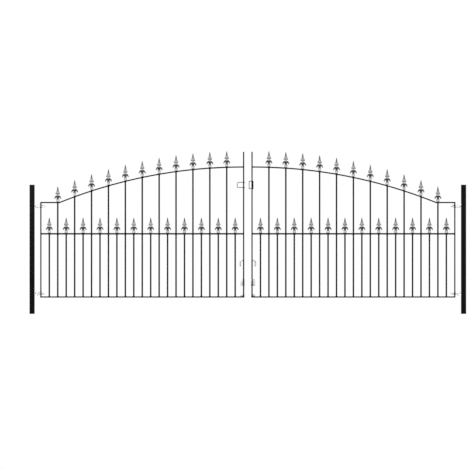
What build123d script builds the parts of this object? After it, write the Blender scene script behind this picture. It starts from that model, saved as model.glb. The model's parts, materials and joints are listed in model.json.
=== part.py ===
from build123d import *
from math import atan, degrees, sqrt
import os

# A pair of arched driveway gates between two posts, in millimetres.
# X runs along the gate from the left post to the right post, Z is up, and the front faces -Y.
# The origin is the centre of the left post's foot.

# Posts
opening = 3300  # clear width between the posts
post_width = 40
post_wall = 3
post_corner = 4.5  # outside corner of the square tube
post_height = 1000  # ground to the top of the cap
cap_lip = 3
cap_plug = 18  # how far the cap reaches down into the tube
cap_wall = 2
cap_clearance = 0.3

# Leaves, made of flat bar with its wide side across the gate
frame_depth = 40
frame_thickness = 10
hinge_gap = 43  # post to hinge stile
meeting_gap = 55  # between the two meeting stiles
bottom_clearance = 126  # ground to the underside of the bottom rail
mid_height = 620  # ground to the middle of the mid rail
mid_thickness = 12
flat_height = 862  # ground to the middle of the top rail beside the hinge stile
flat_run = 140  # level stretch of the top rail beside the hinge stile
arch_rise = 275  # from that level stretch up to the crown of the arch
stile_rise = 118  # meeting stile above the crown of the arch
spaces = 12  # equal spaces between hinge stile, tall bars and meeting stile

# Infill bars and the cast railheads on their ends
bar_width = 12
bar_clearance = 0.3  # round the bar in its punched hole
collar_width = 25
collar_height = 20
collar_chamfer = 3
collar_stand = 3  # between the rail and the railhead's collar
stem_width = 11
barb_reach = 30
barb_foot_height = 18
barb_tip_height = 24
barb_crown_height = 46
barb_thickness = 9
spear_base_height = 50
spear_base_share = 0.3  # this and the shares below are of the spear's widest section
spear_wide_height = 62
spear_half_width = 18
spear_half_depth = 7.5
spear_neck_height = 84
spear_neck_share = 0.4
spear_tip_share = 0.1
railhead_height = 118

# Hinges: an eye bolt through the hinge stile turns on a pin welded to the post
pin_diameter = 12
pin_offset = 17  # post to pin axis
pin_stand = 6  # pin past the eye
pin_clearance = 0.3
eye_diameter = 24
eye_height = 14
eye_gap = 0.3  # between the eye and its bracket
bracket_width = 20
bracket_thickness = 10
shank_diameter = 12
shank_clearance = 0.3
thread_end = 16  # shank past the inner nut
shank_chamfer = 1
pin_chamfer = 1.5
nut_width = 18  # across the flats
nut_height = 10.5
nut_flange_diameter = 25
nut_flange = 2.5
nut_clearance = 0.15
lower_hinge_rise = 29  # eye bolt above the middle of the bottom rail
upper_hinge_drop = 29  # eye bolt below the middle of the top rail

# Drop bolts behind the meeting stiles
drop_diameter = 12
drop_chamfer = 2
drop_clearance = 0.4
drop_bend = 13  # radius of the bent-over handle, to the middle of the rod
drop_rod = 277  # straight rod from the tip up to the bend
drop_hook = 36  # length of the handle that hangs down
keep_plate = 3
keep_reach = 25  # plate past the rod's axis, on the leaf's side
keep_strap = 3
upper_keep_rise = 90  # foot of the upper keep above the underside of the bottom rail
upper_keep_height = 54
lower_keep_height = 28

# Latch: a U-shaped bolt through the left meeting stile, and its keeper on the right one
latch_drop = 139  # middle of the latch below the crown of the arch
latch_diameter = 8
latch_chamfer = 1
latch_spacing = 40  # between the two legs
latch_clearance = 0.3
latch_reach = 48  # back of the bend from the stile
latch_bend = 8
latch_tip = 6  # legs past the stile when drawn back
keeper_height = 63
keeper_depth = 30
keeper_stand = 20  # keeper past the stile, towards the other leaf
keeper_wall = 5
keeper_hole_height = 10  # leaves room for gates that sag
keeper_hole_width = 14
keeper_backing = 6  # plate on the other side of the stile

os.makedirs("parts", exist_ok=True)

gate_middle = post_width / 2 + opening / 2
LEFT = -1
RIGHT = 1
SIDES = ((LEFT, "left"), (RIGHT, "right"))

# Distances from the middle of the gate, the same for both leaves
pin_distance = opening / 2 - pin_offset
hinge_stile_outer = opening / 2 - hinge_gap
hinge_stile_inner = hinge_stile_outer - frame_thickness
hinge_stile_distance = hinge_stile_outer - frame_thickness / 2
meeting_stile_outer = meeting_gap / 2
meeting_stile_inner = meeting_stile_outer + frame_thickness
meeting_stile_distance = meeting_stile_outer + frame_thickness / 2
bar_pitch = (hinge_stile_distance - meeting_stile_distance) / spaces
rail_length = hinge_stile_inner - meeting_stile_inner
rail_distance = (hinge_stile_inner + meeting_stile_inner) / 2

tall_distances = [meeting_stile_distance + bar_pitch * step for step in range(1, spaces)]
dog_distances = [meeting_stile_distance + bar_pitch * (step + 0.5) for step in range(spaces)]

# Heights
bottom_rail_top = bottom_clearance + frame_thickness
crown_height = flat_height + arch_rise
meeting_stile_top = crown_height + stile_rise
hinge_stile_top = flat_height + frame_thickness / 2
lower_hinge_height = bottom_clearance + frame_thickness / 2 + lower_hinge_rise
upper_hinge_height = flat_height - upper_hinge_drop
hinge_places = [(0, lower_hinge_height), (0, upper_hinge_height)]
latch_height = crown_height - latch_drop

# The arch is one circular arc, level at the meeting stile, that meets the level stretch
arch_run = rail_length - flat_run
arch_radius = (arch_run**2 + arch_rise**2) / (2 * arch_rise)
arch_centre_height = crown_height - arch_radius


def place(side, distance):
    """X of a point this far from the middle of the gate, on the left or the right."""
    return gate_middle + side * distance


def arch_height(distance, offset):
    """Height of the arc at this distance, offset outwards from the rail's middle line."""
    run = distance - meeting_stile_inner
    return arch_centre_height + sqrt((arch_radius + offset) ** 2 - run**2)


def arch_foot(offset):
    """Distance at which the arc, offset outwards, meets the level stretch offset as much."""
    rise = flat_height + offset - arch_centre_height
    return meeting_stile_inner + sqrt((arch_radius + offset) ** 2 - rise**2)


def rail_top(distance):
    """Top of the arched rail at this distance."""
    half = frame_thickness / 2
    if distance > arch_foot(half):
        return flat_height + half
    return arch_height(distance, half)


def tall_seat(distance):
    """Where a tall bar ends, so that its railhead's collar clears the sloping rail."""
    return rail_top(distance - collar_width / 2) + collar_stand


dog_seat = mid_height + mid_thickness / 2 + collar_stand

# Posts and their caps
for side, name in SIDES:
    post_x = place(side, opening / 2 + post_width / 2)
    tube_height = post_height - cap_lip
    bore_width = post_width - 2 * post_wall
    with BuildPart() as post:
        with BuildSketch(Plane.XY) as tube_section:
            with Locations((post_x, 0)):
                RectangleRounded(post_width, post_width, post_corner)
                RectangleRounded(bore_width, bore_width, post_corner - post_wall, mode=Mode.SUBTRACT)
        extrude(amount=tube_height)
    post.part.label = f"{name}_post"
    export_step(post.part, f"parts/{name}_post.step")

    plug_width = bore_width - 2 * cap_clearance
    plug_corner = post_corner - post_wall
    with BuildPart() as cap:
        with BuildSketch(Plane.XY.offset(tube_height)) as lip_outline:
            with Locations((post_x, 0)):
                RectangleRounded(post_width, post_width, post_corner)
        extrude(amount=cap_lip)
        chamfer(cap.edges().group_by(Axis.Z)[-1], length=cap_lip / 3)
        with BuildSketch(Plane.XY.offset(tube_height)) as plug_section:
            with Locations((post_x, 0)):
                RectangleRounded(plug_width, plug_width, plug_corner)
                Rectangle(plug_width - 2 * cap_wall, plug_width - 2 * cap_wall, mode=Mode.SUBTRACT)
        extrude(amount=-cap_plug)
    cap.part.label = f"{name}_post_cap"
    export_step(cap.part, f"parts/{name}_post_cap.step")

# The cast railhead, with its foot at the origin and its flat side to the front
spear_inset = spear_half_width * spear_half_depth / sqrt(spear_half_width**2 + spear_half_depth**2)
spear_stages = (
    (spear_wide_height, spear_base_height, 1, spear_base_share),
    (spear_wide_height, spear_neck_height, 1, spear_neck_share),
    (spear_neck_height, railhead_height, spear_neck_share, spear_tip_share),
)
with BuildPart() as railhead:
    with BuildSketch(Plane.XY) as collar_section:
        Rectangle(collar_width, collar_width)
    extrude(amount=collar_height)
    collar_edges = railhead.edges().group_by(Axis.Z)
    chamfer(collar_edges[0] + collar_edges[-1], length=collar_chamfer)
    with BuildSketch(Plane.XY.offset(collar_height)) as stem_section:
        Rectangle(stem_width, barb_thickness)
    extrude(amount=spear_base_height - collar_height)
    with BuildSketch(Plane.XZ) as barb_outline:
        with BuildLine() as barb_edges:
            root_low = (0, barb_foot_height)
            root_high = (0, barb_crown_height - 6)
            crown = (barb_reach * 0.45, barb_crown_height)
            shoulder = (barb_reach * 0.75, barb_crown_height - 4)
            tip = (barb_reach, barb_tip_height)
            hollow = (barb_reach * 0.62, barb_tip_height + 10)
            Polyline(root_high, crown, shoulder, tip, hollow, root_low, close=True)
        make_face()
        mirror(about=Plane.YZ)
    extrude(amount=barb_thickness / 2, both=True)
    for start, end, share, end_share in spear_stages:
        facing = 1 if end > start else -1
        length = abs(end - start)
        taper = degrees(atan(spear_inset * (share - end_share) / length))
        wide = spear_half_width * share
        deep = spear_half_depth * share
        with BuildSketch(Plane((0, 0, start), z_dir=(0, 0, facing))) as spear_section:
            with BuildLine() as spear_edges:
                Polyline((wide, 0), (0, deep), (-wide, 0), (0, -deep), close=True)
            make_face()
        extrude(amount=length, taper=taper)

# Leaves
for side, name in SIDES:
    with BuildPart() as hinge_stile:
        stile_height = hinge_stile_top - bottom_clearance
        with BuildSketch(Plane.XY.offset(bottom_clearance)) as stile_section:
            with Locations((place(side, hinge_stile_distance), 0)):
                Rectangle(frame_thickness, frame_depth)
        extrude(amount=stile_height)
        with BuildSketch(Plane.YZ.offset(place(side, hinge_stile_distance))) as shank_holes:
            with Locations(*hinge_places):
                Circle(shank_diameter / 2 + shank_clearance)
        extrude(amount=frame_thickness, both=True, mode=Mode.SUBTRACT)
    hinge_stile.part.label = f"{name}_hinge_stile"
    export_step(hinge_stile.part, f"parts/{name}_hinge_stile.step")

    with BuildPart() as meeting_stile:
        with BuildSketch(Plane.XY.offset(bottom_clearance)) as stile_section:
            with Locations((place(side, meeting_stile_distance), 0)):
                Rectangle(frame_thickness, frame_depth)
        extrude(amount=meeting_stile_top - bottom_clearance)
        if side == LEFT:
            with BuildSketch(Plane.YZ.offset(place(side, meeting_stile_distance))) as leg_holes:
                with Locations((0, latch_height)):
                    with GridLocations(0, latch_spacing, 1, 2):
                        Circle(latch_diameter / 2 + latch_clearance)
            extrude(amount=frame_thickness, both=True, mode=Mode.SUBTRACT)
    meeting_stile.part.label = f"{name}_meeting_stile"
    export_step(meeting_stile.part, f"parts/{name}_meeting_stile.step")

    with BuildPart() as bottom_rail:
        with BuildSketch(Plane.XY.offset(bottom_clearance)) as rail_outline:
            with Locations((place(side, rail_distance), 0)):
                Rectangle(rail_length, frame_depth)
        extrude(amount=frame_thickness)
    bottom_rail.part.label = f"{name}_bottom_rail"
    export_step(bottom_rail.part, f"parts/{name}_bottom_rail.step")

    hole_width = bar_width + 2 * bar_clearance
    tall_places = [(place(side, distance), 0) for distance in tall_distances]
    dog_places = [(place(side, distance), 0) for distance in dog_distances]
    with BuildPart() as mid_rail:
        with BuildSketch(Plane.XY.offset(mid_height - mid_thickness / 2)) as rail_outline:
            with Locations((place(side, rail_distance), 0)):
                Rectangle(rail_length, frame_depth)
            with Locations(*tall_places, *dog_places):
                Rectangle(hole_width, hole_width, mode=Mode.SUBTRACT)
        extrude(amount=mid_thickness)
    mid_rail.part.label = f"{name}_mid_rail"
    export_step(mid_rail.part, f"parts/{name}_mid_rail.step")

    half = frame_thickness / 2
    upper_foot = (place(side, arch_foot(half)), flat_height + half)
    lower_foot = (place(side, arch_foot(-half)), flat_height - half)
    upper_crown = (place(side, meeting_stile_inner), crown_height + half)
    lower_crown = (place(side, meeting_stile_inner), crown_height - half)
    haunch = meeting_stile_inner + arch_run / 2
    upper_haunch = (place(side, haunch), arch_height(haunch, half))
    lower_haunch = (place(side, haunch), arch_height(haunch, -half))
    upper_end = (place(side, hinge_stile_inner), flat_height + half)
    lower_end = (place(side, hinge_stile_inner), flat_height - half)
    with BuildPart() as top_rail:
        with BuildSketch(Plane.XZ) as rail_outline:
            with BuildLine() as rail_edges:
                Line(lower_end, upper_end)
                Line(upper_end, upper_foot)
                ThreePointArc(upper_foot, upper_haunch, upper_crown)
                Line(upper_crown, lower_crown)
                ThreePointArc(lower_crown, lower_haunch, lower_foot)
                Line(lower_foot, lower_end)
            make_face()
        extrude(amount=frame_depth / 2, both=True)
        with BuildSketch(Plane.XY.offset(flat_height - frame_thickness)) as bar_holes:
            with Locations(*tall_places):
                Rectangle(hole_width, hole_width)
        extrude(amount=arch_rise + 2 * frame_thickness, mode=Mode.SUBTRACT)
    top_rail.part.label = f"{name}_top_rail"
    export_step(top_rail.part, f"parts/{name}_top_rail.step")

    with BuildPart() as tall_bars:
        for distance in tall_distances:
            with BuildSketch(Plane.XY.offset(bottom_rail_top)) as bar_section:
                with Locations((place(side, distance), 0)):
                    Rectangle(bar_width, bar_width)
            extrude(amount=tall_seat(distance) - bottom_rail_top)
    tall_bars.part.label = f"{name}_tall_bars"
    export_step(tall_bars.part, f"parts/{name}_tall_bars.step")

    with BuildPart() as dog_bars:
        with BuildSketch(Plane.XY.offset(bottom_rail_top)) as bar_sections:
            with Locations(*dog_places):
                Rectangle(bar_width, bar_width)
        extrude(amount=dog_seat - bottom_rail_top)
    dog_bars.part.label = f"{name}_dog_bars"
    export_step(dog_bars.part, f"parts/{name}_dog_bars.step")

    with BuildPart() as tall_railheads:
        for distance in tall_distances:
            with Locations((place(side, distance), 0, tall_seat(distance))):
                add(railhead.part)
    tall_railheads.part.label = f"{name}_tall_railheads"
    export_step(tall_railheads.part, f"parts/{name}_tall_railheads.step")

    with BuildPart() as dog_railheads:
        for distance in dog_distances:
            with Locations((place(side, distance), 0, dog_seat)):
                add(railhead.part)
    dog_railheads.part.label = f"{name}_dog_railheads"
    export_step(dog_railheads.part, f"parts/{name}_dog_railheads.step")

# Hinges
nut_total = nut_flange + nut_height
shank_inner_end = hinge_stile_inner - nut_total - thread_end
LEVELS = ((lower_hinge_height, 1), (upper_hinge_height, -1))
for side, name in SIDES:
    pin_x = place(side, pin_distance)
    with BuildPart() as eye_bolts:
        with BuildSketch(Plane.YZ.offset(pin_x)) as shank_section:
            with Locations(*hinge_places):
                Circle(shank_diameter / 2)
        extrude(amount=-side * (pin_distance - shank_inner_end))
        thread_edges = eye_bolts.edges().filter_by(GeomType.CIRCLE).group_by(Axis.X)
        chamfer(thread_edges[-1] if side == LEFT else thread_edges[0], length=shank_chamfer)
        for hinge_height, up in LEVELS:
            with BuildSketch(Plane.XY.offset(hinge_height)) as eye_outline:
                with Locations((pin_x, 0)):
                    Circle(eye_diameter / 2)
            extrude(amount=eye_height / 2, both=True)
        for hinge_height, up in LEVELS:
            with BuildSketch(Plane.XY.offset(hinge_height)) as eye_bore:
                with Locations((pin_x, 0)):
                    Circle(pin_diameter / 2 + pin_clearance)
            extrude(amount=eye_height, both=True, mode=Mode.SUBTRACT)
    eye_bolts.part.label = f"{name}_eye_bolts"
    export_step(eye_bolts.part, f"parts/{name}_eye_bolts.step")

    with BuildPart() as hinge_brackets:
        for hinge_height, up in LEVELS:
            arm_face = hinge_height - up * (eye_height / 2 + eye_gap)
            arm_middle = place(side, pin_distance + pin_offset / 2)
            with BuildSketch(Plane.XY.offset(arm_face)) as arm_outline:
                with Locations((arm_middle, 0)):
                    Rectangle(pin_offset, bracket_width)
                with Locations((pin_x, 0)):
                    Circle(bracket_width / 2)
            extrude(amount=-up * bracket_thickness)
            with BuildSketch(Plane.XY.offset(arm_face)) as pin_section:
                with Locations((pin_x, 0)):
                    Circle(pin_diameter / 2)
            extrude(amount=up * (eye_gap + eye_height + pin_stand))
            pin_end = arm_face + up * (eye_gap + eye_height + pin_stand)
            pin_edges = hinge_brackets.edges().filter_by_position(Axis.Z, pin_end, pin_end)
            chamfer(pin_edges, length=pin_chamfer)
    hinge_brackets.part.label = f"{name}_hinge_brackets"
    export_step(hinge_brackets.part, f"parts/{name}_hinge_brackets.step")

    with BuildPart() as hinge_nuts:
        for start, outwards in ((hinge_stile_outer, 1), (hinge_stile_inner, -1)):
            nut_plane = Plane.YZ.offset(place(side, start))
            with BuildSketch(nut_plane) as flange_outline:
                with Locations(*hinge_places):
                    Circle(nut_flange_diameter / 2)
                    Circle(shank_diameter / 2 + nut_clearance, mode=Mode.SUBTRACT)
            extrude(amount=side * outwards * nut_flange)
            with BuildSketch(nut_plane) as nut_outline:
                with Locations(*hinge_places):
                    RegularPolygon(nut_width / 2, 6, major_radius=False)
                    Circle(shank_diameter / 2 + nut_clearance, mode=Mode.SUBTRACT)
            extrude(amount=side * outwards * nut_total)
    hinge_nuts.part.label = f"{name}_hinge_nuts"
    export_step(hinge_nuts.part, f"parts/{name}_hinge_nuts.step")

# Drop bolts and their keeps, behind the meeting stiles
keep_face = frame_depth / 2 + keep_plate
drop_y = keep_face + drop_clearance + drop_diameter / 2
strap_inner = drop_diameter / 2 + drop_clearance
strap_outer = strap_inner + keep_strap
drop_bend_foot = bottom_clearance + drop_rod
for side, name in SIDES:
    drop_x = place(side, meeting_stile_distance)
    hook_x = drop_x + side * 2 * drop_bend
    crook_x = drop_x + side * drop_bend
    with BuildPart() as drop_bolt:
        with BuildSketch(Plane.XY.offset(bottom_clearance)) as rod_section:
            with Locations((drop_x, drop_y)):
                Circle(drop_diameter / 2)
        extrude(amount=drop_rod)
        chamfer(drop_bolt.edges().group_by(Axis.Z)[0], length=drop_chamfer)
        with BuildSketch(Plane.XY.offset(drop_bend_foot)) as bend_section:
            with Locations((drop_x, drop_y)):
                Circle(drop_diameter / 2)
        revolve(axis=Axis((crook_x, drop_y, drop_bend_foot), (0, side, 0)), revolution_arc=180)
        with BuildSketch(Plane.XY.offset(drop_bend_foot)) as hook_section:
            with Locations((hook_x, drop_y)):
                Circle(drop_diameter / 2)
        extrude(amount=-drop_hook)
    drop_bolt.part.label = f"{name}_drop_bolt"
    export_step(drop_bolt.part, f"parts/{name}_drop_bolt.step")

    with BuildPart() as drop_keeps:
        plate_left = drop_x - side * strap_outer
        plate_right = drop_x + side * keep_reach
        plate_middle = (plate_left + plate_right) / 2
        plate_width = keep_reach + strap_outer
        for foot, height in (
            (bottom_clearance + upper_keep_rise, upper_keep_height),
            (bottom_clearance, lower_keep_height),
        ):
            with BuildSketch(Plane.XY.offset(foot)) as keep_section:
                with Locations((plate_middle, frame_depth / 2 + keep_plate / 2)):
                    Rectangle(plate_width, keep_plate)
                with Locations((drop_x, (keep_face + drop_y) / 2)):
                    Rectangle(2 * strap_outer, drop_y - keep_face)
                with Locations((drop_x, drop_y)):
                    Circle(strap_outer)
                    Circle(strap_inner, mode=Mode.SUBTRACT)
                with Locations((drop_x, (keep_face + drop_y) / 2)):
                    Rectangle(2 * strap_inner, drop_y - keep_face, mode=Mode.SUBTRACT)
            extrude(amount=height)
    drop_keeps.part.label = f"{name}_drop_keeps"
    export_step(drop_keeps.part, f"parts/{name}_drop_keeps.step")

# Latch bolt through the left meeting stile: two legs, two quarter bends and a back
latch_back = place(LEFT, meeting_stile_inner + latch_reach - latch_diameter / 2)
latch_front = place(LEFT, meeting_stile_outer - latch_tip)
bend_x = latch_back + latch_bend
leg_places = [(0, latch_height - latch_spacing / 2), (0, latch_height + latch_spacing / 2)]
with BuildPart() as latch_bolt:
    with BuildSketch(Plane.YZ.offset(bend_x)) as leg_section:
        with Locations(*leg_places):
            Circle(latch_diameter / 2)
    extrude(amount=latch_front - bend_x)
    chamfer(latch_bolt.edges().group_by(Axis.X)[-1], length=latch_chamfer)
    for leg_place, up in zip(leg_places, (1, -1)):
        bend_z = leg_place[1] + up * latch_bend
        with BuildSketch(Plane.YZ.offset(bend_x)) as bend_section:
            with Locations(leg_place):
                Circle(latch_diameter / 2)
        revolve(axis=Axis((bend_x, 0, bend_z), (0, up, 0)), revolution_arc=90)
    with BuildSketch(Plane.XY.offset(leg_places[0][1] + latch_bend)) as back_section:
        with Locations((latch_back, 0)):
            Circle(latch_diameter / 2)
    extrude(amount=latch_spacing - 2 * latch_bend)
latch_bolt.part.label = "latch_bolt"
export_step(latch_bolt.part, "parts/latch_bolt.step")

# Keeper: a short piece of rectangular tube on the right meeting stile, and a plate behind it
keeper_x = place(RIGHT, meeting_stile_outer - keeper_stand / 2)
with BuildPart() as latch_keeper:
    with BuildSketch(Plane.XZ) as keeper_outline:
        with Locations((keeper_x, latch_height)):
            Rectangle(keeper_stand, keeper_height)
            Rectangle(keeper_stand - 2 * keeper_wall, keeper_height - 2 * keeper_wall, mode=Mode.SUBTRACT)
    extrude(amount=keeper_depth / 2, both=True)
    with BuildSketch(Plane.YZ.offset(keeper_x - keeper_stand / 2)) as leg_holes:
        with Locations(*leg_places):
            Rectangle(keeper_hole_width, keeper_hole_height)
    extrude(amount=keeper_wall, mode=Mode.SUBTRACT)
latch_keeper.part.label = "latch_keeper"
export_step(latch_keeper.part, "parts/latch_keeper.step")

with BuildPart() as keeper_backing_plate:
    with BuildSketch(Plane.XZ) as backing_outline:
        with Locations((place(RIGHT, meeting_stile_inner + keeper_backing / 2), latch_height)):
            Rectangle(keeper_backing, keeper_height)
    extrude(amount=keeper_depth / 2, both=True)
keeper_backing_plate.part.label = "keeper_backing_plate"
export_step(keeper_backing_plate.part, "parts/keeper_backing_plate.step")
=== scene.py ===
# %% [markdown]
# # A pair of arched driveway gates
# Two leaves of square bar and flat bar hang on two square posts. The sizes come from the CAD
# frame, so the frame is loaded first, and everything made here is placed from it.

# %% Load the frame
import math
import random
from itertools import product

import bmesh
import bpy
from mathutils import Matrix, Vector
from mathutils.bvhtree import BVHTree
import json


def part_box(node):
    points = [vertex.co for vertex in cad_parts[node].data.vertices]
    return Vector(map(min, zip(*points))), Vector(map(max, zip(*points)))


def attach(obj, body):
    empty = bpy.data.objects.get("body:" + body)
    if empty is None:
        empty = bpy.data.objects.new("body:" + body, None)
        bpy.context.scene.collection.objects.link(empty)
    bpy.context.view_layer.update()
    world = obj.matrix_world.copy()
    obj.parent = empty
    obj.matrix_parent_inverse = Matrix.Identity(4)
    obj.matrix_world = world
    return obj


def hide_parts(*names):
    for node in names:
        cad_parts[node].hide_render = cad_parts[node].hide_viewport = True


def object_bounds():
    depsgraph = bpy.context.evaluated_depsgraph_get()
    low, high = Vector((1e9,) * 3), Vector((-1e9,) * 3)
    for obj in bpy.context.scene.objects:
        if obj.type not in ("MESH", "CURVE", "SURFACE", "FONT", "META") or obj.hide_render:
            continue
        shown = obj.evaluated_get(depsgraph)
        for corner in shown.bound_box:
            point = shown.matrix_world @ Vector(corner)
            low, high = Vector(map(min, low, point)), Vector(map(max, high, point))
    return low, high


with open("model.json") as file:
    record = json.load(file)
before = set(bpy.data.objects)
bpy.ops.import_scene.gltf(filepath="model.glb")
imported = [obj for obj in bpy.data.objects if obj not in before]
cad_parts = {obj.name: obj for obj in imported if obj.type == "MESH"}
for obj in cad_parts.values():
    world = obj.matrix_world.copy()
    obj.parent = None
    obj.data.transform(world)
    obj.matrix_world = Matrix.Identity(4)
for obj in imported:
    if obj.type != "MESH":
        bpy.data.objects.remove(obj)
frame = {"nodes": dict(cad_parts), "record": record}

cad_low, cad_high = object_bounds()
bodies = frame["record"]["behaviour"]["bodies"]
body_of_node = {node: body for body, nodes in bodies.items() for node in nodes}
print("nodes", len(frame["nodes"]), "size", [round(c, 3) for c in cad_high - cad_low])

# %% [markdown]
# ## Camera and background
# The picture is a straight front view without perspective, so the camera is orthographic and
# looks along +Y. Its frame is set by how much of the gate's plane it covers, not by a distance.

# %% Camera
PICTURE_WIDTH = 3.638
PICTURE_MIDDLE = Vector((1.5707, 0, 0.6107))
CAMERA_DISTANCE = 8.0
CAMERA_REACH = 100.0
camera = bpy.data.objects.new("camera", bpy.data.cameras.new("camera"))
bpy.context.collection.objects.link(camera)
camera.data.type = "ORTHO"
camera.data.ortho_scale = PICTURE_WIDTH
camera.location = PICTURE_MIDDLE + Vector((0, -CAMERA_DISTANCE, 0))
camera.rotation_euler = (math.pi / 2, 0, 0)
camera.data.clip_end = CAMERA_REACH
bpy.context.scene.camera = camera
bpy.context.scene.view_settings.view_transform = "Standard"
print("camera covers", PICTURE_WIDTH, "m")

# %% [markdown]
# The surroundings are white for the camera and for reflections, and a soft grey for everything
# else, so that the object gets plain light and the picture still has a white background. A Light
# Path node tells the kinds of ray apart. Values are combined with Math and Map Range nodes here
# and in the materials, so each of the two has a helper.


# %% Helpers for value nodes
def maths(tree, operation, first, second):
    """A Math node on two values, each one a socket or a number."""
    node = tree.nodes.new("ShaderNodeMath")
    node.operation = operation
    for socket, value in zip(node.inputs, (first, second)):
        if isinstance(value, (int, float)):
            socket.default_value = value
        else:
            tree.links.new(value, socket)
    return node.outputs["Value"]


def remap(tree, source, low, high, to_low, to_high):
    """A Map Range node from low..high to to_low..to_high."""
    node = tree.nodes.new("ShaderNodeMapRange")
    node.inputs["From Min"].default_value = low
    node.inputs["From Max"].default_value = high
    node.inputs["To Min"].default_value = to_low
    node.inputs["To Max"].default_value = to_high
    tree.links.new(source, node.inputs["Value"])
    return node.outputs["Result"]


print("helpers", maths.__name__, remap.__name__)

# %% World
WORLD_LIGHT = 0.55
world = bpy.data.worlds.new("studio")
bpy.context.scene.world = world
world.use_nodes = True
tree = world.node_tree
tree.nodes.clear()
path = tree.nodes.new("ShaderNodeLightPath")
shown = path.outputs["Is Camera Ray"]
for kind in ("Is Glossy Ray", "Is Transmission Ray"):
    shown = maths(tree, "MAXIMUM", shown, path.outputs[kind])
background = tree.nodes.new("ShaderNodeBackground")
background.inputs["Color"].default_value = (1, 1, 1, 1)
tree.links.new(remap(tree, shown, 0, 1, WORLD_LIGHT, 1), background.inputs["Strength"])
output = tree.nodes.new("ShaderNodeOutputWorld")
tree.links.new(background.outputs[0], output.inputs["Surface"])
print("world light", WORLD_LIGHT)

# %% [markdown]
# ## Lights
# Three large soft panels stand well away from the gate: a key from the upper left in front, a
# weaker fill from the right, and one from behind that draws a thin bright edge along the bars.


# %% Lights
def soft_panel(name, place, target, size, power):
    """A square area light at place that faces target."""
    light = bpy.data.lights.new(name, "AREA")
    light.shape = "SQUARE"
    light.size = size
    light.energy = power
    panel = bpy.data.objects.new(name, light)
    bpy.context.collection.objects.link(panel)
    panel.location = place
    panel.rotation_euler = (Vector(target) - Vector(place)).to_track_quat("-Z", "Y").to_euler()
    return panel


gate_middle = (cad_low + cad_high) / 2
# name, place from the gate's middle and size in metres, power in watts
for name, offset, size, power in (
    ("key", (-2.6, -3.6, 2.8), 2.4, 170),
    ("fill", (3.4, -3.0, 1.2), 2.8, 60),
    ("rim", (0.8, 3.8, 2.6), 3.0, 110),
):
    soft_panel(name, gate_middle + Vector(offset), gate_middle, size, power)

# %% [markdown]
# ## Shader groups
# A group is a small machine with named inputs and outputs, built once and used in several
# materials. The first makes the fine unevenness of a coated or cast skin; the second says where an
# edge or a corner sticks out, which is where a coat is thin and dirt doesn't stay, and where the
# surface has a hollow, which the cast heads and the zinc darken with painted shade.


# %% Helpers for node groups
NOISE_ROUGHNESS = 0.55


def new_group(name, inputs, outputs):
    """An empty shader group with sockets given as (name, type, default)."""
    group = bpy.data.node_groups.new(name, "ShaderNodeTree")
    for socket_name, kind, default in inputs:
        socket = group.interface.new_socket(socket_name, in_out="INPUT", socket_type=kind)
        socket.default_value = default
    for socket_name, kind in outputs:
        group.interface.new_socket(socket_name, in_out="OUTPUT", socket_type=kind)
    entry = group.nodes.new("NodeGroupInput")
    leave = group.nodes.new("NodeGroupOutput")
    return group, entry, leave


def noise(tree, source, scale, detail):
    """A noise texture in object space, so that its grain has a real size."""
    node = tree.nodes.new("ShaderNodeTexNoise")
    node.inputs["Scale"].default_value = scale
    node.inputs["Detail"].default_value = detail
    node.inputs["Roughness"].default_value = NOISE_ROUGHNESS
    tree.links.new(source, node.inputs["Vector"])
    return node


# %% Skin group: grain, patches and a height for the bump
GRAIN_SCALE = 900.0
PATCH_SCALE = 9.0
GRAIN_RANGE = (0.3, 0.7)
PATCH_RANGE = (0.35, 0.65)
skin_group, entry, leave = new_group(
    "skin",
    [
        ("Grain Scale", "NodeSocketFloat", GRAIN_SCALE),
        ("Patch Scale", "NodeSocketFloat", PATCH_SCALE),
    ],
    [
        ("Grain", "NodeSocketFloat"),
        ("Patches", "NodeSocketFloat"),
        ("Height", "NodeSocketFloat"),
    ],
)
place_node = skin_group.nodes.new("ShaderNodeTexCoord")
grain = noise(skin_group, place_node.outputs["Object"], GRAIN_SCALE, detail=2)
skin_group.links.new(entry.outputs["Grain Scale"], grain.inputs["Scale"])
patches = noise(skin_group, place_node.outputs["Object"], PATCH_SCALE, detail=4)
skin_group.links.new(entry.outputs["Patch Scale"], patches.inputs["Scale"])
for source, span, socket in ((grain, GRAIN_RANGE, "Grain"), (patches, PATCH_RANGE, "Patches")):
    spread = remap(skin_group, source.outputs["Fac"], *span, 0, 1)
    skin_group.links.new(spread, leave.inputs[socket])
skin_group.links.new(grain.outputs["Fac"], leave.inputs["Height"])
print("group", skin_group.name, [s.name for s in skin_group.interface.items_tree])

# %% Edge group: one output for corners that stick out, one for hollows, both 0 on flats
FLAT_POINTINESS = 0.5
edge_group, entry, leave = new_group(
    "edges",
    [("Sharpness", "NodeSocketFloat", 8.0)],
    [("Corners", "NodeSocketFloat"), ("Hollows", "NodeSocketFloat")],
)
geometry = edge_group.nodes.new("ShaderNodeNewGeometry")
centred = maths(edge_group, "SUBTRACT", geometry.outputs["Pointiness"], FLAT_POINTINESS)
for sign, socket in ((1, "Corners"), (-1, "Hollows")):
    signed = maths(edge_group, "MULTIPLY", centred, sign)
    scaled = maths(edge_group, "MULTIPLY", signed, entry.outputs["Sharpness"])
    scaled.node.use_clamp = True
    edge_group.links.new(scaled, leave.inputs[socket])
print("group", edge_group.name)


# %% Helpers for materials
def new_material(name):
    """A material with its tree, its Principled shader and nothing else."""
    material = bpy.data.materials.new(name)
    material.use_nodes = True
    tree = material.node_tree
    return material, tree, tree.nodes["Principled BSDF"]


def place_group(tree, group, **values):
    """One use of a group in a material, with its own values."""
    node = tree.nodes.new("ShaderNodeGroup")
    node.node_tree = group
    for socket_name, value in values.items():
        node.inputs[socket_name.replace("_", " ")].default_value = value
    return node


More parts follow.
